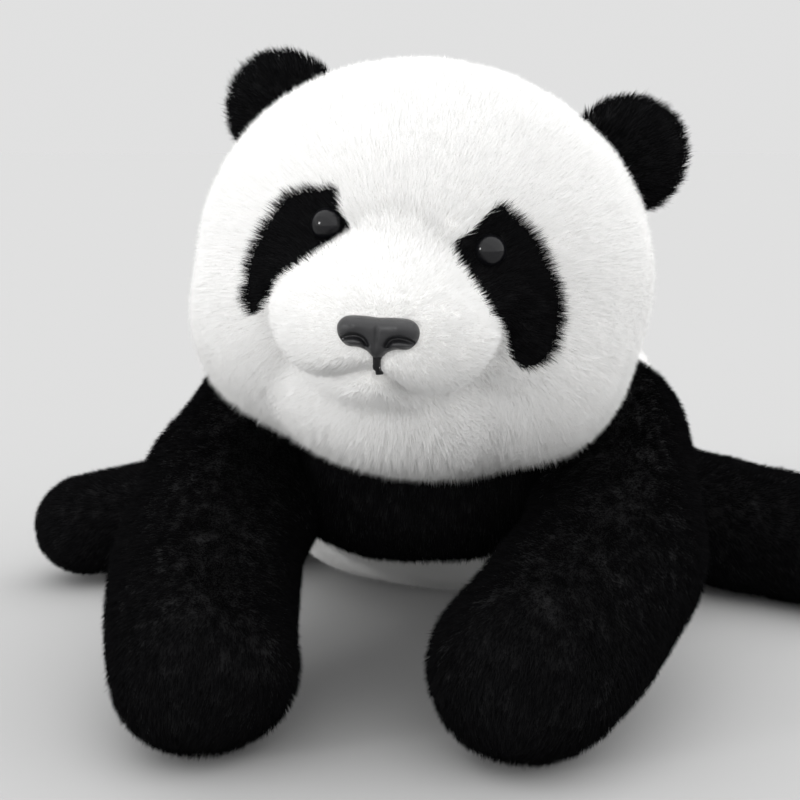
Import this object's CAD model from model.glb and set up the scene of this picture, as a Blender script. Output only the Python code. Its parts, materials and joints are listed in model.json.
"""Looks of the plush panda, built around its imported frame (metres, +Z up).

The face looks along -Y and the panda's own left is +X.  Each stuffed part is a skin
of backing cloth with a pile of plush fibres growing from it.  The fibres are real
geometry: thin three-sided spikes in small tufts, combed the way the plush lies.
"""
import json
import math

import bpy
import numpy as np
from mathutils import Matrix, Vector


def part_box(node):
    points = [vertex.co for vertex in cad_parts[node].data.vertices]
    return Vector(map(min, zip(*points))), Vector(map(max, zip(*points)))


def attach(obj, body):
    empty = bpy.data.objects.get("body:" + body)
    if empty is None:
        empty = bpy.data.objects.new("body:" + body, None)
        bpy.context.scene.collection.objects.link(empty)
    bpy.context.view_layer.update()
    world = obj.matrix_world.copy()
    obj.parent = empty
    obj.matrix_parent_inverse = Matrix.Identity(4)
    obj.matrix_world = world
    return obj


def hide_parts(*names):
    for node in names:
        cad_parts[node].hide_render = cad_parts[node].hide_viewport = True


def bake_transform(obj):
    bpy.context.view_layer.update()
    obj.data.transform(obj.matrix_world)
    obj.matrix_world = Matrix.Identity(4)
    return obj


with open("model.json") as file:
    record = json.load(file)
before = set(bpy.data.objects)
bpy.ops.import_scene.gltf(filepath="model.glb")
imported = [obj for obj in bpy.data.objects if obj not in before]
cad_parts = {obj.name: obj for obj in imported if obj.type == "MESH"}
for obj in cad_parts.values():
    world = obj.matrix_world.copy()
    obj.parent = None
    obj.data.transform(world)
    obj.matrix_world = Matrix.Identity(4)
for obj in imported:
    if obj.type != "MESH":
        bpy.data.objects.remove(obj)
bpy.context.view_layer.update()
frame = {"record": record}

MM = 0.001

# ---- places, from the frame ---------------------------------------------------------
record = frame["record"]
joints = {j["name"]: j for j in record["behaviour"]["joints"]}


def pivot(joint):
    """A joint's point, in millimetres."""
    return np.array(joints[joint]["pos_m"]) / MM


EAR_AT = np.array([91.0, 24.0, 72.0])        # the left ear's root in the head's own frame
ear_line = pivot("ear_left_fold") - pivot("ear_right_fold")
head_x = ear_line / np.linalg.norm(ear_line)
head_y = np.array([0.0, 1.0, 0.0])
head_z = np.cross(head_x, head_y)
HEAD = np.column_stack([head_x, head_y, head_z])
ear_middle = (pivot("ear_left_fold") + pivot("ear_right_fold")) / 2
head_centre = ear_middle - HEAD @ (EAR_AT * [0, 1, 1])


def to_world(points):
    """From the head's own frame to the object's, in millimetres."""
    return points @ HEAD.T + head_centre


def to_head(points):
    """From the object's frame to the head's own, in millimetres."""
    return (points - head_centre) @ HEAD


# ---- shape of the head, in its own frame (mm) ---------------------------------------
SKULL = ((0, 0, -2), (115, 102, 104))
CHEEK = ((58, -20, -30), (52, 64, 54))
MUZZLE_X = -4.0              # the muzzle is sewn a little to the panda's right
MUZZLE = ((MUZZLE_X, -87, -20), (57, 50, 40))
CHIN = ((0, -58, -58), (54, 44, 34))
SOFT_JOIN = 4.0              # how softly the forms run into each other
JOIN_SHRINK = 0.35           # how much of the swelling at the joins is taken off again
SOCKET_DEPTH = 3.0
SOCKET_RADIUS = 12.0
CREASE_WIDTH = 4.2
TUCK_DEPTH = 6.5             # how far the face falls back under the mouth
TUCK_HALF_WIDTH = 44
PHILTRUM_DEPTH = 2.0
NOSE_SEAT_DEPTH = 2.0
EYE = np.array([38.0, 20.0])
EYE_RADIUS = 7.6
EYE_DOME = 6.0               # how far the eye domes out, and how deep its back is
EYE_BACK = 3.0
EYE_STANDS_OUT = 0.4
EYE_LOOKS = (0.25, -1.0, 0.14)               # where the left eye looks
WASHER_DEPTH = 6.0           # how far behind the skin an eye's washer sits
NOSE_WASHER_DEPTH = 7.0
EYE_OVERHANG = 2.2           # how far in from the rim of the eye the pile still grows
NOSE_WIDTH = 36.0
NOSE_CENTRE = -16.5
LEFT_PATCH = [               # the patches as cut, at the left of the head; the right one is drawn mirrored
    (39, 40), (32, 33), (26, 25), (20, 18), (28, 9), (36, 1), (43, -7), (49, -16),
    (53, -25), (60, -31), (68, -28), (73, -19), (73, -4), (68, 10), (57, 27), (47, 35),
]
RIGHT_PATCH = [
    (34, 35), (31, 27), (25, 17), (38, 5), (49, -4), (57, -12), (61, -20), (65, -27),
    (72, -23), (73, -9), (71, 4), (66, 17), (59, 28), (49, 33),
]
MUZZLE_EDGE = [              # from the lips' middle round the muzzle to the bridge of the nose
    (0, -39), (10, -42), (21, -47), (32, -47), (42, -42), (49, -35), (54, -26),
    (55, -16), (47, -5), (37, 5), (26, 17), (13, 27), (0, 30),
]
CREASE_DEPTH = ((-45, -35, -10, 15, 31), (9.5, 9.5, 6.5, 2.5, 1.6))    # by height on the face
CURVE_STEPS = 6              # points between two given points of the muzzle's edge
MOUTH_STRETCHES = 6          # how many stretches of that edge are the mouth
UNDER_NOSE = -24.0           # height of the philtrum's top
LIPS = -40.0                 # and of its foot, where the lips meet

# how far forward a point of the head has to lie to be on a panel, the face, the muzzle or the nose
PANEL_Y, FACE_Y, MUZZLE_Y, NOSE_Y = -50, -60, -90, -100

# lengths of the pile (mm)
PILE_ON_SKULL = 8.0
RAGGED_PILE = 5.0            # how much the pile under the chin varies
RAGGED_TRIM = 1.5
MUZZLE_TRIM = 4.2            # how much shorter it is on the muzzle
PILE_BY_NOSE = 2.2
PILE_BY_LIPS = 0.6
PILE_BY_EYE = 4.6
PILE_ON_BODY = 8.0
PILE_ON_LIMBS = 7.5
PILE_ON_NECK = 7.0
PILE_ON_TAIL = 10.0

# how tightly the padded pieces are stuffed
HEAD_FILL = 0.8


def smooth_line(points, steps, closed=False):
    """A Catmull-Rom curve through the points."""
    p = np.array(points, float)
    if closed:
        p = np.vstack([p[-1], p, p[0], p[1]])
    else:
        p = np.vstack([2 * p[0] - p[1], p, 2 * p[-1] - p[-2]])
    t = np.linspace(0, 1, steps, endpoint=False)[:, None]
    out = []
    for a, b, c, d in zip(p[:-3], p[1:-2], p[2:-1], p[3:]):
        square = (2 * a - 5 * b + 4 * c - d) * t**2
        cube = (3 * b - a - 3 * c + d) * t**3
        out.append(0.5 * (2 * b + (c - a) * t + square + cube))
    if not closed:
        out.append(p[-2][None])
    return np.vstack(out)


def inside(outline, x, z):
    """True for each point inside a closed outline."""
    hit = np.zeros(x.shape, bool)
    for (x0, z0), (x1, z1) in zip(outline, np.roll(outline, -1, axis=0)):
        crosses = (z0 > z) != (z1 > z)
        hit ^= crosses & (x < (x1 - x0) * (z - z0) / (z1 - z0 + 1e-12) + x0)
    return hit


def off_line(line, x, z):
    """Distance of each point from a polyline."""
    best = np.full(x.shape, 1e9)
    for a, b in zip(line[:-1], line[1:]):
        d = b - a
        t = np.clip(((x - a[0]) * d[0] + (z - a[1]) * d[1]) / (d @ d), 0, 1)
        best = np.minimum(best, np.hypot(x - a[0] - t * d[0], z - a[1] - t * d[1]))
    return best


left_patch = smooth_line(LEFT_PATCH, 8, closed=True)
right_patch = smooth_line(RIGHT_PATCH, 8, closed=True)
muzzle_curve = smooth_line(MUZZLE_EDGE, CURVE_STEPS)
muzzle_outline = np.vstack([muzzle_curve, muzzle_curve[::-1] * [-1, 1]])
mouth_curve = muzzle_curve[:MOUTH_STRETCHES * CURVE_STEPS + 1]


def fade(value, start, end):
    """0 up to start, 1 from end on, and a straight ramp between them."""
    return np.clip((value - start) / (end - start), 0, 1)


def reach(u, centre, semi):
    """How far a ray from the head's centre along u goes before it leaves an ellipsoid, or 0."""
    s = np.array(semi, float)
    c = np.array(centre, float)
    a = ((u / s) ** 2).sum(1)
    b = -2 * ((u / s) * (c / s)).sum(1)
    k = ((c / s) ** 2).sum() - 1
    disc = b * b - 4 * a * k
    far = (-b + np.sqrt(np.maximum(disc, 0))) / (2 * a)
    return np.where((disc > 0) & (far > 0), far, 0.0)


def head_radius(u):
    """Distance of the head's skin from its centre along each unit direction."""
    mirrored = u * [-1, 1, 1]
    forms = [reach(u, *SKULL), reach(u, *MUZZLE), reach(u, *CHIN), reach(u, *CHEEK), reach(mirrored, *CHEEK)]
    r = np.array(forms)
    top = r.max(0)
    return top + SOFT_JOIN * np.log(np.exp((r - top) / SOFT_JOIN).sum(0)) - SOFT_JOIN * JOIN_SHRINK


def sculpt_head(p):
    """Eye sockets, mouth crease, bridge seam and philtrum, pressed into the head's skin."""
    out = p / np.linalg.norm(p, axis=1)[:, None]
    x, y, z = p.T
    front = fade(-y, 55, 75)
    side, muzzle_side = np.abs(x), np.abs(x - MUZZLE_X)
    socket = SOCKET_DEPTH * np.exp(-(((side - EYE[0]) ** 2 + (z - EYE[1]) ** 2) / SOCKET_RADIUS**2))
    off_crease = off_line(muzzle_curve, muzzle_side, z) / CREASE_WIDTH
    crease = np.interp(z, *CREASE_DEPTH) * np.exp(-(off_crease**2))
    below = np.clip(np.interp(muzzle_side, mouth_curve[:, 0], mouth_curve[:, 1]) - z, 0, None)
    tuck = TUCK_DEPTH * (1 - np.exp(-below / 2)) * np.exp(-below / 15)
    tuck = tuck * np.exp(-((muzzle_side / TUCK_HALF_WIDTH) ** 3))
    philtrum = PHILTRUM_DEPTH * np.exp(-((x / 3.0) ** 2)) * ((z < UNDER_NOSE) & (z > LIPS))
    nose_seat = NOSE_SEAT_DEPTH * np.exp(-((x / 17.0) ** 4 + ((z - NOSE_CENTRE) / 9.0) ** 4))
    return p - out * (front * (socket + crease + tuck + philtrum + nose_seat))[:, None]


# ---- meshes -------------------------------------------------------------------------
def new_object(name, verts, faces, materials, smooth=True, normals=None):
    """A mesh object from arrays in millimetres; faces lists (indices, material slots) of one width each."""
    me = bpy.data.meshes.new(name)
    me.vertices.add(len(verts))
    me.vertices.foreach_set("co", (np.asarray(verts, np.float32) * MM).ravel())
    loops = np.concatenate([f[0].ravel() for f in faces])
    sizes = np.concatenate([np.full(len(f[0]), f[0].shape[1]) for f in faces])
    me.loops.add(len(loops))
    me.loops.foreach_set("vertex_index", loops.astype(np.int32))
    me.polygons.add(len(sizes))
    starts = np.concatenate([[0], np.cumsum(sizes)[:-1]])
    me.polygons.foreach_set("loop_start", starts.astype(np.int32))
    me.polygons.foreach_set("material_index", np.concatenate([f[1] for f in faces]).astype(np.int32))
    me.polygons.foreach_set("use_smooth", np.full(len(sizes), smooth))
    for material in materials:
        me.materials.append(material)
    me.update(calc_edges=True)
    if normals is not None:
        held = me.attributes.new("custom_normal", "FLOAT_VECTOR", "POINT")
        held.data.foreach_set("vector", np.asarray(normals, np.float32).ravel())
    obj = bpy.data.objects.new(name, me)
    bpy.context.collection.objects.link(obj)
    return obj


def sphere_grid(n):
    """Unit directions and faces of a closed ball with even cells (a cube blown up to a ball)."""
    t = np.tan(np.linspace(-math.pi / 4, math.pi / 4, n + 1))
    a, b = np.meshgrid(t, t, indexing="ij")
    one = np.ones_like(a)
    sides = [(one, a, b), (-one, b, a), (b, one, a), (a, -one, b), (a, b, one), (b, a, -one)]
    points = np.vstack([np.stack(s, -1).reshape(-1, 3) for s in sides])
    points /= np.linalg.norm(points, axis=1)[:, None]
    cell = np.arange(n * (n + 1)).reshape(n, n + 1)[:, :-1].ravel()
    quad = np.stack([cell, cell + n + 1, cell + n + 2, cell + 1], 1)
    faces = np.vstack([quad + k * (n + 1) ** 2 for k in range(6)])
    key = np.round(points * 1e6).astype(np.int64)
    _, first, index = np.unique(key, axis=0, return_index=True, return_inverse=True)
    return points[first], index.ravel()[faces]


def tube(path, radii, ring_count, around):
    """A closed limb along a smooth path: rings whose radius follows radii, with round ends."""
    line = smooth_line(np.column_stack([np.array(path, float), np.array(radii, float)]), 24)
    step = np.linalg.norm(np.diff(line[:, :3], axis=0), axis=1)
    run = np.concatenate([[0], np.cumsum(step)])
    start_r, end_r = line[0, 3], line[-1, 3]
    s = np.linspace(-start_r, run[-1] + end_r, ring_count)
    inner = np.clip(s, 0, run[-1])
    centre = np.column_stack([np.interp(inner, run, line[:, k]) for k in range(4)])
    tangent = np.gradient(centre[:, :3], axis=0)
    first = line[1, :3] - line[0, :3]
    last = line[-1, :3] - line[-2, :3]
    tangent[s <= 0] = first
    tangent[s >= run[-1]] = last
    tangent /= np.linalg.norm(tangent, axis=1)[:, None]
    before = np.minimum(s, 0)
    after = np.maximum(s - run[-1], 0)
    radius = centre[:, 3].copy()
    radius[s < 0] = np.sqrt(np.maximum(start_r**2 - before[s < 0] ** 2, 0))
    radius[s > run[-1]] = np.sqrt(np.maximum(end_r**2 - after[s > run[-1]] ** 2, 0))
    middle = centre[:, :3] + tangent * (before + after)[:, None]
    across = np.cross(tangent, [0, 0, 1.0])
    across /= np.linalg.norm(across, axis=1)[:, None]
    up = np.cross(across, tangent)
    turn = np.linspace(0, 2 * math.pi, around, endpoint=False)
    ring = np.cos(turn)[None, :, None] * across[:, None] + np.sin(turn)[None, :, None] * up[:, None]
    points = middle[:, None] + ring * radius[:, None, None]
    return loft(points)


def loft(points):
    """Quads over rings of points, closed at both ends by their middles."""
    rings, around, _ = points.shape
    body = points[1:-1].reshape(-1, 3)
    ends = np.vstack([points[0].mean(0), points[-1].mean(0)])
    index = np.arange((rings - 2) * around).reshape(rings - 2, around)
    turned = np.roll(index, -1, axis=1)
    quads = np.stack([index[:-1], turned[:-1], turned[1:], index[1:]], -1).reshape(-1, 4)
    low, high = len(body), len(body) + 1
    fan_a = np.stack([np.full(around, low), turned[0], index[0]], 1)
    fan_b = np.stack([np.full(around, high), index[-1], turned[-1]], 1)
    return np.vstack([body, ends]), quads, np.vstack([fan_a, fan_b])


def normals_of(verts, quads, tris=None):
    """Outward normals at the vertices."""
    n = np.zeros_like(verts)
    for f in (quads, tris):
        if f is None:
            continue
        d = np.cross(verts[f[:, 2]] - verts[f[:, 0]], verts[f[:, -1]] - verts[f[:, 1]])
        for k in range(f.shape[1]):
            np.add.at(n, f[:, k], d)
    n /= np.linalg.norm(n, axis=1)[:, None] + 1e-9
    return n


def lumpy(verts, normals, seed, size=26.0, height=1.6):
    """Soft unevenness of stuffing under cloth: a few smooth waves along the normals."""
    rng = np.random.default_rng(seed)
    wave = np.zeros(len(verts))
    for _ in range(10):
        direction = rng.normal(size=3)
        direction /= np.linalg.norm(direction)
        length = size * rng.uniform(0.8, 2.4)
        wave += np.sin(verts @ direction * 2 * math.pi / length + rng.uniform(0, 2 * math.pi))
    return verts + normals * (wave * height / 10**0.5)[:, None]


def on_floor(verts, clearance=2.0, softness=6.0):
    """Presses what would be under the floor up to a flat, softly rounded base."""
    z = verts[:, 2] - clearance
    pressed = clearance + softness * np.log1p(np.exp(np.clip(z / softness, -30, 30)))
    verts = verts.copy()
    verts[:, 2] = np.where(z > 5 * softness, verts[:, 2], pressed)
    return verts


# ---- materials ----------------------------------------------------------------------
def node_material(name, values):
    """A node material with its Principled shader, the shader's inputs set."""
    material = bpy.data.materials.new(name)
    material.use_nodes = True
    tree = material.node_tree
    shader = tree.nodes["Principled BSDF"]
    set_inputs(shader, values)
    return material, tree, shader


def set_inputs(node, values):
    """Sets a node's inputs by name."""
    for name, value in values.items():
        node.inputs[name].default_value = value


def texture(tree, kind, values):
    """A texture node with its inputs set."""
    node = tree.nodes.new(f"ShaderNodeTex{kind}")
    set_inputs(node, values)
    return node


def colour_by(tree, shader, height, dark, light, span=(0.0, 1.0)):
    """Colours a shader between dark and light by a texture."""
    ramp = tree.nodes.new("ShaderNodeValToRGB")
    for element, colour, position in zip(ramp.color_ramp.elements, (dark, light), span):
        element.color = (*colour, 1)
        element.position = position
    tree.links.new(height, ramp.inputs["Fac"])
    tree.links.new(ramp.outputs["Color"], shader.inputs["Base Color"])


def bump_by(tree, shader, height, values):
    """Raises a shader's surface by a texture."""
    bump = tree.nodes.new("ShaderNodeBump")
    set_inputs(bump, values)
    tree.links.new(height, bump.inputs["Height"])
    tree.links.new(bump.outputs["Normal"], shader.inputs["Normal"])


def backing_cloth(name, dark, light, sheen, specular):
    """The cloth that the pile stands in: mottled, with fine felted bumps."""
    material, tree, shader = node_material(name, {
        "Roughness": 0.95, "Specular IOR Level": specular, "Sheen Weight": sheen, "Sheen Roughness": 0.5,
    })
    place = tree.nodes.new("ShaderNodeTexCoord")
    noise = texture(tree, "Noise", {"Scale": 900.0, "Detail": 4.0})
    tree.links.new(place.outputs["Object"], noise.inputs["Vector"])
    colour_by(tree, shader, noise.outputs["Fac"], dark, light, (0.35, 0.65))
    bump_by(tree, shader, noise.outputs["Fac"], {"Strength": 0.6, "Distance": 0.001})
    return material


def fibre(name, colour, specular):
    """One shade of plush fibre."""
    return node_material(name, {
        "Base Color": (*colour, 1), "Roughness": 0.9, "Specular IOR Level": specular,
    })[0]


WHITE_SHADES = [(0.975, 0.97, 0.96), (0.965, 0.96, 0.945), (0.98, 0.98, 0.97)]
BLACK_SHADES = [(0.0052, 0.0052, 0.0056), (0.0095, 0.0095, 0.0100), (0.0036, 0.0036, 0.0040)]
white_cloth = backing_cloth("white_plush_backing", (0.78, 0.77, 0.75), (0.88, 0.875, 0.86), 0.4, 0.5)
black_cloth = backing_cloth("black_plush_backing", (0.003, 0.003, 0.0035), (0.006, 0.006, 0.0065), 0.02, 0.3)
white_fibres = [fibre(f"white_fibre_{k}", colour, 0.05) for k, colour in enumerate(WHITE_SHADES)]
black_fibres = [fibre(f"black_fibre_{k}", colour, 0.0) for k, colour in enumerate(BLACK_SHADES)]


def glossy_eye():
    """Polished black plastic with the faintest haze of handling."""
    material, tree, shader = node_material("eye_black_plastic", {
        "Base Color": (0.004, 0.004, 0.005, 1), "Specular IOR Level": 0.05,
        "Coat Weight": 0.5, "Coat Roughness": 0.03,
    })
    noise = texture(tree, "Noise", {"Scale": 400.0})
    spread = tree.nodes.new("ShaderNodeMapRange")
    set_inputs(spread, {"To Min": 0.32, "To Max": 0.42})
    tree.links.new(noise.outputs["Fac"], spread.inputs["Value"])
    tree.links.new(spread.outputs["Result"], shader.inputs["Roughness"])
    return material


def satin_nose():
    """Dark grey moulded plastic with a fine pebbled grain."""
    material, tree, shader = node_material("nose_satin_plastic", {
        "Roughness": 0.28, "Specular IOR Level": 0.5,
    })
    cells = texture(tree, "Voronoi", {"Scale": 1400.0})
    noise = texture(tree, "Noise", {"Scale": 250.0})
    bump_by(tree, shader, cells.outputs["Distance"], {"Strength": 0.25, "Distance": 0.0004})
    colour_by(tree, shader, noise.outputs["Fac"], (0.008, 0.008, 0.009), (0.015, 0.015, 0.017))
    return material


def thread_material():
    """Black embroidery thread with a twisted grain."""
    material, tree, shader = node_material("embroidery_thread", {"Roughness": 0.5})
    wave = texture(tree, "Wave", {"Scale": 700.0, "Distortion": 1.5})
    colour_by(tree, shader, wave.outputs["Fac"], (0.002, 0.002, 0.003), (0.010, 0.010, 0.012))
    bump_by(tree, shader, wave.outputs["Fac"], {"Distance": 0.0003})
    return material


def washer_material():
    """Milky white plastic for the locking washers."""
    material, tree, shader = node_material("washer_plastic", {
        "Base Color": (0.75, 0.75, 0.73, 1), "Roughness": 0.45,
    })
    noise = texture(tree, "Noise", {"Scale": 300.0})
    bump_by(tree, shader, noise.outputs["Fac"], {"Distance": 0.0002})
    return material


# ---- plush pile ---------------------------------------------------------------------
TUFT = 6                     # fibres in a tuft
TUFT_SPREAD = 1.7            # mm, how far a tuft's roots lie from its middle
MAX_FIBRES = 60_000          # fibres in one piece
PILE_LEAN = 0.85             # radians from upright
FLAT_LEAN = 1.15             # on the body, where the pile lies nearly flat
RISE_BELOW = 0.45            # how much straighter it stands at the bottom of the head
ROOT_DEPTH = 0.3             # mm, how far below the skin a fibre starts
SPIKE_SIDES = ((0, 1, 3), (1, 2, 3), (2, 0, 3))      # of its four corners, the last is the tip
thinning = 1.0


def unit(v):
    """Each vector at length 1."""
    return v / (np.linalg.norm(v, axis=-1, keepdims=True) + 1e-9)


def fibre_shapes(roots, normals, comb, length, lean, width, rng):
    """Corners and shading directions of fibres: thin three-sided spikes that lean the way they are combed."""
    side_way = unit(comb - normals * (comb * normals).sum(1)[:, None])
    way = unit(normals * np.cos(lean)[:, None] + side_way * np.sin(lean)[:, None])
    across = unit(np.cross(normals, side_way))
    upright = np.cross(way, across)
    half = (width * rng.uniform(0.8, 1.2, len(roots)) * 0.55)[:, None]
    start = rng.uniform(0, 2 * math.pi, len(roots))
    corners = []
    for k in range(3):
        turn = (start + k * 2 * math.pi / 3)[:, None]
        corners.append(roots + (across * np.cos(turn) + upright * np.sin(turn)) * half)
    corners.append(roots + way * length[:, None])
    shading = unit(normals + 0.14 * way + rng.normal(0, 0.04, normals.shape))
    return np.stack(corners, 1), shading


def grow(piles, verts, tris, normals, length, comb, density, width, seed,
         lean=PILE_LEAN, keep=None, region=None, fine=None):
    """Grows pile on a skin.

    piles lists (name, materials, place), and region says which of them a root is in.  length, comb,
    keep, fine and lean are asked about points: how long the pile is, which way it lies, whether it
    grows at all, what share of it grows, and how far it leans from upright, in radians.  lean may be
    a plain number.  density is fibres per square millimetre, and width is theirs in millimetres.
    """
    rng = np.random.default_rng(seed)
    a, b, c = (verts[tris[:, k]] for k in range(3))
    area = np.linalg.norm(np.cross(b - a, c - a), axis=1) / 2
    count = int(area.sum() * density * thinning / TUFT)
    pick = rng.choice(len(tris), size=count, p=area / area.sum())
    r, t = np.sqrt(rng.random(count)), rng.random(count)
    weight = np.stack([1 - r, r * (1 - t), r * t], 1)[:, :, None]
    at = (verts[tris[pick]] * weight).sum(1)
    normal = unit((normals[tris[pick]] * weight).sum(1))
    share = np.ones(count) if fine is None else fine(at)
    kept = rng.random(count) < share
    if keep is not None:
        kept &= keep(at)
    at, normal, share = at[kept], normal[kept], share[kept]
    count = len(at)
    way = comb(at)
    way = unit(way - normal * (way * normal).sum(1)[:, None]) + rng.normal(0, 0.10, (count, 3))
    spread = rng.normal(0, TUFT_SPREAD, (count, TUFT, 3))
    spread -= normal[:, None] * (spread * normal[:, None]).sum(2)[:, :, None]
    roots = (at[:, None] + spread).reshape(-1, 3)
    normal = np.repeat(normal, TUFT, 0)
    gathered = np.repeat(way, TUFT, 0) - spread.reshape(-1, 3) * 0.06
    way = unit(gathered + rng.normal(0, 0.12, (count * TUFT, 3)))
    tuft_length = rng.uniform(0.94, 1.06, count)
    tuft_lean = (lean(at) if callable(lean) else lean) + rng.normal(0, 0.07, count)
    lengths = length(roots) * np.repeat(tuft_length, TUFT) * rng.uniform(0.75, 1.1, count * TUFT)
    leans = np.clip(np.repeat(tuft_lean, TUFT) + rng.normal(0, 0.11, count * TUFT), 0.05, 1.35)
    widths = width / np.repeat(np.sqrt(share), TUFT)
    points, shading = fibre_shapes(roots - normal * ROOT_DEPTH, normal, way, lengths, leans, widths, rng)
    shade = rng.integers(0, 3, count * TUFT)
    where = np.zeros(count * TUFT, int) if region is None else region(roots)
    for index, (name, materials, place) in enumerate(piles):
        chosen = np.flatnonzero(where == index)
        parts = max(1, math.ceil(len(chosen) / MAX_FIBRES))
        for k, group in enumerate(np.array_split(chosen, parts)):
            first = np.arange(len(group))[:, None] * 4
            sides = [(first + np.array(corners), shade[group]) for corners in SPIKE_SIDES]
            label = f"{name}_pile_{k + 1}" if parts > 1 else f"{name}_pile"
            pile = new_object(label, points[group].reshape(-1, 3), sides, materials,
                              normals=np.repeat(shading[group], 4, 0))
            pile.visible_shadow = materials is not white_fibres      # white plush lets the light through
            place(pile)


def as_triangles(quads, tris=None):
    """Quads cut into triangles, with any triangles added."""
    out = [quads[:, [0, 1, 2]], quads[:, [0, 2, 3]]]
    if tris is not None:
        out.append(tris)
    return np.vstack(out)


def facing_out(verts, quads, tris=None):
    """A closed mesh with its faces and normals outward."""
    normals = normals_of(verts, quads, tris)
    if (normals * (verts - verts.mean(0))).sum() < 0:
        quads, normals = quads[:, ::-1], -normals
        tris = None if tris is None else tris[:, ::-1]
    return (verts, quads, normals) if tris is None else (verts, quads, tris, normals)


def make_skin(name, verts, quads, tris, cloth, place, nodes):
    """The backing cloth of one piece, standing for its CAD nodes."""
    tris = np.zeros((0, 3), int) if tris is None else tris
    used = np.unique(np.concatenate([quads.ravel(), tris.ravel()]))
    index = np.zeros(len(verts), int)
    index[used] = np.arange(len(used))
    faces = [(index[quads], np.zeros(len(quads))), (index[tris], np.zeros(len(tris)))]
    skin = new_object(f"{name}_skin", verts[used], faces, [cloth])
    place(skin)
    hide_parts(*nodes)


def even(length):
    """The same length of pile everywhere."""
    return lambda at: np.full(len(at), length)


def one_way(way):
    """The same comb everywhere."""
    return lambda at: np.tile(way, (len(at), 1))


# ---- head ---------------------------------------------------------------------------
def rides(body):
    """What places a piece on one body."""
    def place(piece):
        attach(piece, body)
    return place


def blends():
    """What places a piece across one joint, its bend between two points."""
    def place(piece):
        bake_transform(piece)
    return place


COMB_FROM = np.array([0, -134, NOSE_CENTRE])         # the tip of the nose, in the head's own frame


def head_comb(at):
    """The pile runs from the nose back over the head, and turns down on the cheeks, the chin and behind."""
    p = to_head(at)
    away = p - COMB_FROM
    far = np.linalg.norm(away, axis=1)
    cheek = fade(far, 60, 120) * fade(-p[:, 2], -30, 30)
    behind = fade(p[:, 1], 10, 70)
    return (unit(away) - (0.6 * cheek + 1.2 * behind)[:, None] * [0, 0, 1.0]) @ HEAD.T


def head_length(at):
    """Short on the muzzle and by the nose and eyes, full on the skull, ragged under the chin and cheeks."""
    x, y, z = to_head(at).T
    ragged = 0.5 + 0.5 * np.sin(1.5 * x + 0.9 * np.sin(0.8 * z)) * np.sin(1.3 * z + 1.1 * y)
    under = fade(-z, 58, 78) * fade(-y, -60, -20)
    full = PILE_ON_SKULL + under * (RAGGED_PILE * ragged - RAGGED_TRIM)
    full -= MUZZLE_TRIM * np.exp(-(((x / 58) ** 2 + ((z + 18) / 34) ** 2) ** 2)) * (y < FACE_Y)
    nose = np.hypot(x / 1.6, z - NOSE_CENTRE)
    full = np.where(y < NOSE_Y, np.minimum(full, PILE_BY_NOSE + 0.15 * nose), full)
    lips = (y < MUZZLE_Y) & (z > -44) & (z < -22)
    full = np.where(lips, np.minimum(full, PILE_BY_LIPS + 0.30 * np.abs(x)), full)
    eye = np.hypot(np.abs(x) - EYE[0], z - EYE[1])
    return np.where(y < FACE_Y, np.minimum(full, PILE_BY_EYE + 0.25 * eye), full)


def head_lean(at):
    """The pile lies down on the face and stands up towards the lower cheeks, the chin and the neck."""
    _, y, z = to_head(at).T
    low = fade(-z, 35, 65) * fade(-y, -60, -20)
    return PILE_LEAN - RISE_BELOW * low


def head_fine(at):
    """Share of the fibres that stand here: all on the face, half of them behind."""
    y = to_head(at)[:, 1]
    return 0.5 + 0.5 * fade(-y, -20, 20)


def head_region(at):
    """Which panel each point of the head is in: head, muzzle, chin, left patch or right patch."""
    x, y, z = to_head(at).T
    from_muzzle = x - MUZZLE_X
    front = y < PANEL_Y
    left = front & inside(left_patch, x, z)
    right = front & inside(right_patch, -x, z)
    under_mouth = z < np.interp(np.abs(from_muzzle), mouth_curve[:, 0], mouth_curve[:, 1])
    dome = front & inside(muzzle_outline, from_muzzle, z)
    chin = front & (((x / 56) ** 2 + ((z + 36) / 46) ** 2) < 1) & under_mouth
    return np.select([left, right, dome, chin], [3, 4, 1, 2], 0)


def make_head():
    """Head skin in its sewn panels, each with its own pile."""
    u, quads = sphere_grid(92)
    verts = to_world(sculpt_head(u * head_radius(u)[:, None]))
    verts, quads, normals = facing_out(verts, quads)
    verts = lumpy(verts, normals, 3, height=0.6)
    panel = head_region(verts[quads].mean(1))
    white = (white_cloth, white_fibres, "white_plush")
    black = (black_cloth, black_fibres, "black_plush")
    panels = (
        ("head_cover", white, ["head_cover", "head_stuffing"], HEAD_FILL),
        ("muzzle_cover", white, ["muzzle_cover"], None),
        ("chin_panel", white, ["chin_panel"], None),
        ("eye_patch_left", black, ["eye_patch_left"], None),
        ("eye_patch_right", black, ["eye_patch_right"], None),
    )
    piles = []
    for index, (name, (cloth, fibres, slot), nodes, fill) in enumerate(panels):
        place = rides("head")
        make_skin(name, verts, quads[panel == index], None, cloth, place, nodes)
        piles.append((name, fibres, place))
    grow(piles, verts, as_triangles(quads), normals, length=head_length, comb=head_comb, density=3.0,
         width=0.28, seed=20, lean=head_lean, keep=off_the_face, region=head_region, fine=head_fine)


def off_the_face(at):
    """False under the nose, the eyes and the stitches, where no pile grows."""
    x, y, z = to_head(at).T
    side = np.abs(x)
    nose = (side < NOSE_WIDTH / 2 - 1) & (np.abs(z - NOSE_CENTRE - NOSE_AT[1]) < 6.5) & (y < NOSE_Y)
    eye = (np.hypot(side - EYE[0], z - EYE[1]) < EYE_RADIUS - EYE_OVERHANG) & (y < FACE_Y)
    stitch = (side < 3.2) & (z < UNDER_NOSE) & (z > LIPS - 2) & (y < MUZZLE_Y)
    return ~(nose | eye | stitch)


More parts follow.
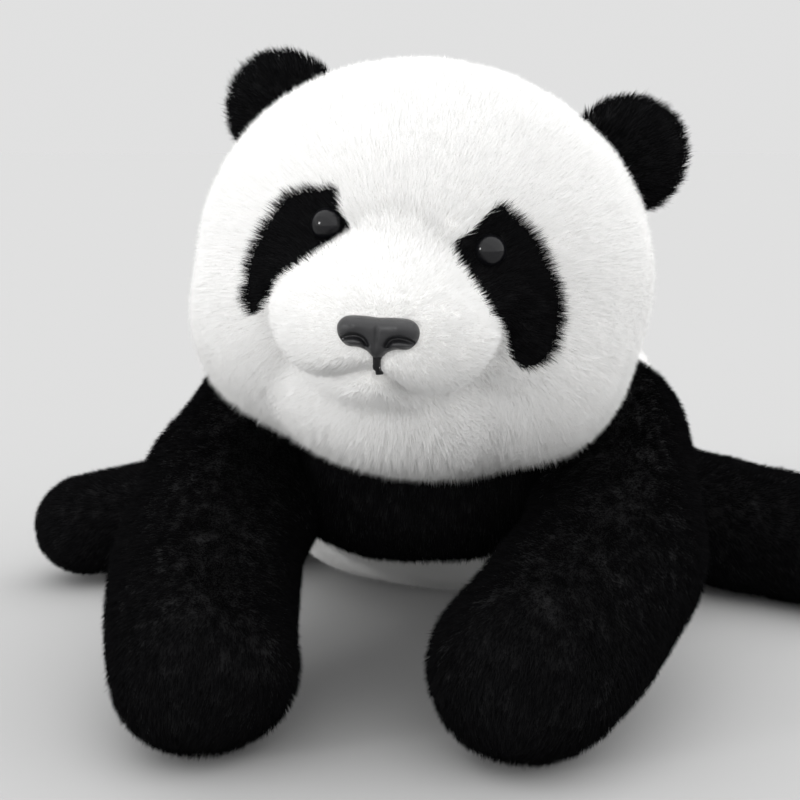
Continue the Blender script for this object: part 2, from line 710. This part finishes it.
face_ways = sphere_grid(120)[0]
face_ways = face_ways[face_ways[:, 1] < -0.5]
face_points = sculpt_head(face_ways * head_radius(face_ways)[:, None])


def head_skin_at(x, z):
    """The foremost point of the head's skin near (x, z) in the head's own frame."""
    near = np.hypot(face_points[:, 0] - x, face_points[:, 2] - z) < 2.0
    return np.array([x, face_points[near, 1].min(), z])


def plain_part(name, verts, quads, material, node):
    """A hard part of the head, standing for its CAD node."""
    verts, quads, _ = facing_out(verts, quads)
    part = new_object(name, verts, [(quads, np.zeros(len(quads)))], [material])
    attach(part, "head")
    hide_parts(node)


def facing_frame(out):
    """Columns: across, inward and up, for something that looks along `out` in the head's frame."""
    across = unit(np.cross([0, 0, 1.0], out) * -1)
    return np.column_stack([across, -out, np.cross(across, -out)])


def make_eye(side, name):
    """A domed safety eye, seated in the patch, and its locking washer behind the skin."""
    u, quads = sphere_grid(24)
    depth = np.where(u[:, 1] < 0, EYE_DOME, EYE_BACK)
    local = np.stack([u[:, 0] * EYE_RADIUS, u[:, 1] * depth, u[:, 2] * EYE_RADIUS], 1)
    seat = head_skin_at(side * EYE[0], EYE[1])
    out = unit(np.array(EYE_LOOKS) * [side, 1, 1])
    turn = facing_frame(out)
    eye = to_world(local @ turn.T + seat + out * EYE_STANDS_OUT)
    plain_part(f"eye_{name}_dome", eye, quads, eye_plastic, f"eye_{name}")
    make_washer(f"eye_washer_{name}", seat - out * WASHER_DEPTH, turn)


def make_washer(name, centre, turn):
    """A locking washer: a flat ring with teeth round its hole, behind the skin."""
    around, teeth, bore, tooth, flat, rim, thick = 64, 8, 2.2, 0.8, 5.0, 8.0, 1.0
    angle = np.linspace(0, 2 * math.pi, around, endpoint=False)
    toothed = bore + tooth * (np.sin(teeth * angle) > 0)
    flat_ring, rim_ring = np.full(around, flat), np.full(around, rim)
    section = [(toothed, -thick), (flat_ring, -thick), (rim_ring, -thick / 2),
               (rim_ring, thick / 2), (flat_ring, thick), (toothed, thick)]
    rings = [np.stack([r * np.cos(angle), np.full(around, y), r * np.sin(angle)], 1) for r, y in section]
    index = np.arange(len(section) * around).reshape(len(section), around)
    after = np.roll(index, -1, axis=0)
    quads = np.stack([index, np.roll(index, -1, 1), np.roll(after, -1, 1), after], -1).reshape(-1, 4)
    verts = to_world(np.vstack(rings) @ turn.T + centre)
    plain_part(f"{name}_ring", verts, quads, washer_plastic, name)


NOSE_OUTLINE = [             # right half, top middle to bottom tip
    (0, 6.8), (9, 7.2), (15, 6.3), (18, 2.5), (17.2, -2.6),
    (13.5, -6.2), (8.5, -6.6), (4.6, -8.0), (2.2, -10.2), (0, -11.4),
]
NOSTRIL_LINE = [(4.4, -4.6), (6.2, -2.2), (9.4, -1.2), (12.6, -1.7), (15.2, -3.0)]
NOSE_TURN = math.radians(5.5)                # the nose sits a little level against the tilted head
NOSE_AT = np.array([-1.0, -2.6])             # and a little aside and below the middle of its seat
NOSE_FRONT = 7.0                             # how far it swells forward, and back into the face
NOSE_BACK = 4.0
GROOVE_DEPTH = 0.9
NOSTRIL_DEPTH = 3.2
NOSTRIL_WIDTH = 1.25


def make_nose():
    """The moulded nose: two wings, a groove between them, two nostrils and a pointed foot; and its washer."""
    u, quads = sphere_grid(64)
    curve = smooth_line(NOSE_OUTLINE, 8)
    edge = np.hypot(*curve.T)
    turn = np.arctan2(curve[:, 1], curve[:, 0])[::-1]
    rho = np.hypot(u[:, 0], u[:, 2])
    front = u[:, 1] < 0
    angle = np.arctan2(u[:, 2], np.abs(u[:, 0]))
    spread = np.interp(angle, turn, edge[::-1]) * rho
    side = spread * np.cos(angle)
    z = spread * np.sin(angle)
    x = side * np.sign(u[:, 0])
    swell = np.sqrt(np.clip(1 - rho**3, 0, 1)) * np.where(front, -NOSE_FRONT, NOSE_BACK)
    groove = GROOVE_DEPTH * np.exp(-((x / 0.9) ** 2)) * np.exp(-(((z + 1) / 5) ** 4))
    upper_wings = 1.2 * np.exp(-((side - 10.5) ** 2 + (z - 3.2) ** 2) / 16)
    lower_wings = 0.7 * np.exp(-((side - 10) ** 2 / 16 + (z + 4.4) ** 2 / 3))
    off_nostril = off_line(smooth_line(NOSTRIL_LINE, 6), side, z) / NOSTRIL_WIDTH
    nostril = NOSTRIL_DEPTH * np.exp(-(off_nostril**2))
    seat = head_skin_at(0, NOSE_CENTRE)
    y = swell + front * (groove - (upper_wings + lower_wings) + nostril - 0.10 * z) + seat[1] - 1.0
    cos, sin = math.cos(NOSE_TURN), math.sin(NOSE_TURN)
    x, z = x * cos - z * sin, x * sin + z * cos
    verts = to_world(np.stack([x + NOSE_AT[0], y, z + NOSE_CENTRE + NOSE_AT[1]], 1))
    plain_part("nose_moulding", verts, quads, nose_plastic, "nose")
    make_washer("nose_washer", seat + [0, NOSE_WASHER_DEPTH, 0], facing_frame(np.array([0, -1.0, 0])))


def make_mouth_stitch():
    """Satin stitches of black thread from the nose down to the lips."""
    rng = np.random.default_rng(8)
    top, pitch, thread_radius, half_width, height = NOSE_CENTRE - 10.0, 0.8, 0.5, 1.7, 1.6
    spokes, along = 6, 7
    turn = np.linspace(0, 2 * math.pi, spokes, endpoint=False)
    ring = np.stack([np.zeros(spokes), np.cos(turn), np.sin(turn)], 1) * thread_radius
    verts, quads = [], []
    for level in np.arange(top, LIPS, -pitch):
        width = half_width + rng.uniform(-0.2, 0.3)
        x = np.linspace(-width, width, along)
        seat_y = head_skin_at(0, level)[1] - 1.0
        arch = height * np.sqrt(np.maximum(1 - (x / (width + 0.01)) ** 2, 0))
        line = np.stack([x, seat_y - arch, level + 0.3 * x / width], 1)
        base = len(verts) * spokes
        verts += [point + ring for point in line]
        for k in range(along - 1):
            for m in range(spokes):
                n = (m + 1) % spokes
                low, high = base + k * spokes, base + (k + 1) * spokes
                quads.append([low + m, low + n, high + n, high + m])
    verts = to_world(np.vstack(verts))
    plain_part("mouth_stitch_thread", verts, np.array(quads), thread, "mouth_stitch")


# ---- ears ---------------------------------------------------------------------------
EAR_SIZE = np.array([28.0, 11.0, 28.0])
EAR_HOLLOW = 4.0
EAR_SHIFT = {1: (2.0, 0.0, -1.5), -1: (-1.0, 0.0, -4.5)}     # each ear is sewn a little off its joint


def make_ear(side, name):
    """A thick round ear, a little hollow in front, its root in the head's pile."""
    u, quads = sphere_grid(28)
    local = u * EAR_SIZE
    local[:, 1] += EAR_HOLLOW * np.exp(-((u[:, 0] ** 2 + u[:, 2] ** 2) / 0.45)) * (u[:, 1] < 0)
    centre = to_world((EAR_AT + EAR_SHIFT[side]) * [side, 1, 1])
    verts, quads, normals = facing_out(to_world(local) - head_centre + centre, quads)
    ear = f"ear_{name}"
    place = rides(ear)
    nodes = [f"ear_cover_{name}", f"ear_stuffing_{name}"]
    make_skin(ear, verts, quads, None, black_cloth, place, nodes)
    grow([(ear, black_fibres, place)], verts, as_triangles(quads), normals,
         length=even(PILE_ON_LIMBS), comb=lambda at: at - centre + (centre - head_centre) * 0.4,
         density=2.2, width=0.34, seed=40 + side, keep=lambda at: outside_head(at, 4))


def outside_head(at, depth):
    """True where a point isn't deeper than `depth` in the head."""
    p = to_head(at)
    return np.linalg.norm(p, axis=1) > head_radius(unit(p)) - depth


# ---- torso --------------------------------------------------------------------------
TORSO_X = -4.0
BAND_NORMAL = np.array([0, 0.69, -0.72])     # the white body lies on this side of the seam
BAND_THROUGH = np.array([0, -100, 50])

# along the back: y, half width, top and bottom, in millimetres
TORSO = [
    (-119, 6, 122, 112),
    (-114, 42, 144, 90),
    (-98, 70, 162, 70),
    (-72, 88, 178, 57),
    (-40, 103, 190, 46),
    (-5, 119, 202, 32),
    (35, 132, 211, 12),
    (75, 137, 217, -6),
    (115, 136, 219, -10),
    (155, 127, 210, -8),
    (192, 102, 182, 2),
    (214, 68, 150, 22),
    (226, 34, 118, 48),
    (230, 6, 90, 78),
]


def make_torso():
    """The torso's skin in its two fabrics: the black shoulder band and the white body."""
    rows = smooth_line(TORSO, 12)
    turn = np.linspace(0, 2 * math.pi, 180, endpoint=False)
    y, half, top, low = (rows[:, k][:, None] for k in range(4))
    x = half * np.cos(turn) + TORSO_X
    z = (top + low) / 2 + (top - low) / 2 * np.sin(turn)
    verts, quads, tris = loft(np.stack([x, np.broadcast_to(y, x.shape), z], -1))
    verts, quads, tris, normals = facing_out(verts, quads, tris)
    verts = on_floor(lumpy(verts, normals, 5, size=60, height=2.2))
    normals = normals_of(verts, quads, tris)

    def black(at):
        return (at - BAND_THROUGH) @ BAND_NORMAL + 2.0 * np.sin(at[:, 0] / 17.0) < 0

    piles = []
    for name, slot, cloth, fibres, nodes, is_black in (
        ("torso_cover", "white_plush", white_cloth, white_fibres, ["torso_cover", "torso_stuffing"], False),
        ("shoulder_band", "black_plush", black_cloth, black_fibres, ["shoulder_band"], True),
    ):
        place = rides("torso")
        chosen = black(verts[quads].mean(1)) == is_black
        caps = black(verts[tris].mean(1)) == is_black
        make_skin(name, verts, quads[chosen], tris[caps], cloth, place, nodes)
        piles.append((name, fibres, place))
    grow(piles, verts, as_triangles(quads, tris), normals, length=even(PILE_ON_BODY), comb=torso_comb,
         density=1.4, width=0.42, seed=60, lean=FLAT_LEAN, keep=torso_keep,
         region=lambda at: black(at).astype(int))


def torso_comb(at):
    """The body's pile runs back along it, and down its sides, chest and rump."""
    side = fade(np.abs(at[:, 0] - TORSO_X), 0, 110)
    rump = fade(at[:, 1], 120, 200)
    chest = fade(-at[:, 1], 60, 90)
    along = 1 - np.maximum(rump, chest)
    return np.stack([np.zeros(len(at)), along, -0.9 * np.maximum(side, 1 - along)], 1)


def torso_keep(at):
    """No pile on the floor's side or deep inside the limbs and head."""
    return (at[:, 2] > BARE_BASE) & outside_head(at, 16) & outside_limbs(at, PILE_IN_JOINT)


# ---- limbs --------------------------------------------------------------------------
BARE_BASE = 5                # mm above the floor: no pile grows below this
PILE_IN_JOINT = 26           # mm that pile grows on where a leg goes into the body, seen when it swings
FORELEGS = {                 # two points from the shoulder joint, the points after them, and the radii
    "left": ([(-2, 10, 10), (1, -36, -10)], [(99, -118, 80), (80, -162, 60), (61, -196, 46)],
             [46, 47, 46, 47, 45]),
    "right": ([(0, 10, 12), (-4, -34, -6)], [(-114, -120, 83), (-108, -170, 59), (-98, -208, 44)],
              [46, 49, 47, 46, 43]),
}
HINDLEG_LINE = ((-50, 6, 8), (-6, 0, -2), (52, -28, -8), (104, -56, -12))    # from the hip, outward first
HINDLEG_RADII = {"left": [44, 43, 40, 36], "right": [44, 42, 36, 31]}


def limb_paths():
    """Each leg's curved middle line, from its joint out, and its radii."""
    paths = {}
    for name, (from_joint, further, radii) in FORELEGS.items():
        shoulder = pivot(f"foreleg_{name}_spread")
        paths[f"foreleg_{name}"] = ([shoulder + step for step in from_joint] + further, radii)
    for name, side in (("left", 1), ("right", -1)):
        hip = pivot(f"hindleg_{name}_swing")
        line = [hip + [side * dx, dy, dz] for dx, dy, dz in HINDLEG_LINE]
        paths[f"hindleg_{name}"] = (line, HINDLEG_RADII[name])
    return paths


LIMBS = limb_paths()


def outside_limbs(at, depth):
    """True where a point isn't deeper than `depth` in any limb."""
    ok = np.ones(len(at), bool)
    for path, radii in LIMBS.values():
        line = smooth_line(np.column_stack([np.array(path, float), radii]), 6)
        for p in line:
            ok &= np.linalg.norm(at - p[:3], axis=1) > p[3] - depth
    return ok


def inside_torso(at, depth):
    """True where a point is deeper than `depth` in the torso's skin."""
    rows = smooth_line(TORSO, 8)
    y = at[:, 1]
    half, top, low = (np.interp(y, rows[:, 0], rows[:, k], left=0, right=0) for k in (1, 2, 3))
    half, tall = np.maximum(half - depth, 1), np.maximum((top - low) / 2 - depth, 1)
    within = (at[:, 0] / half) ** 2 + ((at[:, 2] - (top + low) / 2) / tall) ** 2 < 1
    return within & (y > rows[0, 0] + depth) & (y < rows[-1, 0] - depth)


def make_leg(kind, name, joint, seed):
    """One leg: skin and pile that bend where it is sewn to the body."""
    limb = f"{kind}_{name}"
    path, radii = LIMBS[limb]
    size = ((110, 120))
    verts, quads, tris, normals = facing_out(*tube(path, radii, *size))
    verts = on_floor(lumpy(verts, normals, seed, size=40, height=1.2))
    normals = normals_of(verts, quads, tris)
    root = pivot(joint)
    run = unit(np.array(path[-1], float) - root)
    place = blends()
    nodes = [f"{kind}_cover_{name}", f"{kind}_stuffing_{name}"]
    make_skin(limb, verts, quads, tris, black_cloth, place, nodes)

    def shows(at):
        return (at[:, 2] > BARE_BASE) & ~inside_torso(at, PILE_IN_JOINT) & outside_head(at, 12)

    grow([(limb, black_fibres, place)], verts, as_triangles(quads, tris), normals,
         length=even(PILE_ON_LIMBS), comb=one_way(run + [0, 0, -0.35]), density=1.7, width=0.38,
         seed=seed, keep=shows)


NECK_SIZE = [62, 52, 46]
TAIL_RADII = [20, 17, 13]
TAIL_TIP_BACK = 16           # mm, how far the middle of the tail's tip is inside the CAD tail's box
TAIL_TIP_DOWN = 19


def make_neck():
    """The black neck between head and shoulders."""
    u, quads = sphere_grid(24)
    verts, quads, normals = facing_out(pivot("head_nod") + u * NECK_SIZE, quads)
    place = rides("neck")
    make_skin("neck", verts, quads, None, black_cloth, place, ["neck_cover", "neck_stuffing"])
    grow([("neck", black_fibres, place)], verts, as_triangles(quads), normals,
         length=even(PILE_ON_NECK), comb=one_way([0, 0.4, -1.0]), density=1.1, width=0.46, seed=95,
         keep=lambda at: ~inside_torso(at, 8) & outside_head(at, 8))


def make_tail():
    """A short round white tail."""
    root = pivot("tail_lift")
    far = np.array(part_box("tail_cover")[1]) / MM
    tip = np.array([root[0], far[1] - TAIL_TIP_BACK, far[2] - TAIL_TIP_DOWN])
    verts, quads, tris, normals = facing_out(*tube([root, (root + tip) / 2, tip], TAIL_RADII, 40, 48))
    place = blends()
    make_skin("tail", verts, quads, tris, white_cloth, place, ["tail_cover", "tail_stuffing"])
    grow([("tail", white_fibres, place)], verts, as_triangles(quads, tris), normals,
         length=even(PILE_ON_TAIL), comb=one_way([0, 0.5, -1.0]), density=1.6, width=0.46, seed=90,
         keep=lambda at: ~inside_torso(at, 10))


# ---- the studio ---------------------------------------------------------------------
CAMERA_AZIMUTH = 8.0
CAMERA_DOWN = 10.0
CAMERA_DISTANCE = 750.0      # mm to the head's centre
CAMERA_LENS = 64.8
CAMERA_ASIDE = 0.0174        # how far it points aside of the head's centre, and above it, as slopes
CAMERA_ABOVE = 0.0938


def make_camera():
    """A camera at the photograph's viewing angle, the head a little above the middle."""
    azimuth, down = math.radians(CAMERA_AZIMUTH), math.radians(CAMERA_DOWN)
    level = math.cos(down)
    ahead = np.array([-math.sin(azimuth) * level, math.cos(azimuth) * level, -math.sin(down)])
    right = np.array([math.cos(azimuth), math.sin(azimuth), 0])
    up = np.cross(right, ahead)
    pointing = ahead + right * CAMERA_ASIDE + up * CAMERA_ABOVE
    spot = (head_centre - pointing * CAMERA_DISTANCE) * MM
    data = bpy.data.cameras.new("camera")
    data.lens = CAMERA_LENS
    camera = bpy.data.objects.new("camera", data)
    turn = Matrix(np.column_stack([right, up, -ahead]).tolist()).to_4x4()
    camera.matrix_world = Matrix.Translation(spot) @ turn
    bpy.context.collection.objects.link(camera)
    bpy.context.scene.camera = camera


FLOOR_REACH = 60.0           # metres
WORLD_LIGHT = 0.75
BROAD = 3.1                  # radians across: a lamp like half the sky
SUNS = (                     # name, strength, where it shines from, radians across
    ("key", 1.8, (0.25, -0.85, 1.1), BROAD),
    ("window", 0.8, (-1.0, -0.85, 0.30), 0.20),
    ("fill", 0.8, (1.0, -0.6, 0.7), BROAD),
    ("back", 0.8, (0.7, 0.9, 1.0), BROAD),
)


def floor_shade():
    """The shade that makes the lit floor as bright as the world behind it."""
    direct = 0.0
    for _, strength, place, across in SUNS:
        upward = Vector(place).normalized().z
        direct += strength * ((1 + upward) / 2 if across == BROAD else upward) / math.pi
    return WORLD_LIGHT / (WORLD_LIGHT + direct)


def make_studio():
    """A plain pale floor that fades into a pale world, under three broad soft lamps and a low window."""
    verts = np.array([[-1, -1, 0], [1, -1, 0], [1, 1, 0], [-1, 1, 0]]) * FLOOR_REACH / MM
    material, _, _ = node_material("pale_floor", {
        "Base Color": (*[floor_shade()] * 3, 1), "Roughness": 1.0, "Specular IOR Level": 0.0,
    })
    floor = new_object("floor", verts, [(np.array([[0, 1, 2, 3]]), np.zeros(1))], [material], smooth=False)
    world = bpy.data.worlds.new("studio")
    world.use_nodes = True
    set_inputs(world.node_tree.nodes["Background"], {"Color": (1.0, 1.0, 1.0, 1), "Strength": WORLD_LIGHT})
    bpy.context.scene.world = world
    for name, strength, shines_from, across in SUNS:
        data = bpy.data.lights.new(name, "SUN")
        data.angle = across
        data.energy = strength
        lamp = bpy.data.objects.new(name, data)
        lamp.rotation_euler = Vector(shines_from).to_track_quat("Z", "Y").to_euler()
        bpy.context.collection.objects.link(lamp)
    bpy.context.scene.view_settings.view_transform = "Standard"


# ---- making -------------------------------------------------------------------------
eye_plastic = glossy_eye()
nose_plastic = satin_nose()
thread = thread_material()
washer_plastic = washer_material()

make_camera()
make_studio()
make_head()
make_nose()
make_mouth_stitch()
make_neck()
make_torso()
make_tail()
for body_side, side_name in ((1, "left"), (-1, "right")):
    make_eye(body_side, side_name)
    make_ear(body_side, side_name)
    make_leg("foreleg", side_name, f"foreleg_{side_name}_spread", 70 + body_side)
    make_leg("hindleg", side_name, f"hindleg_{side_name}_swing", 80 + body_side)
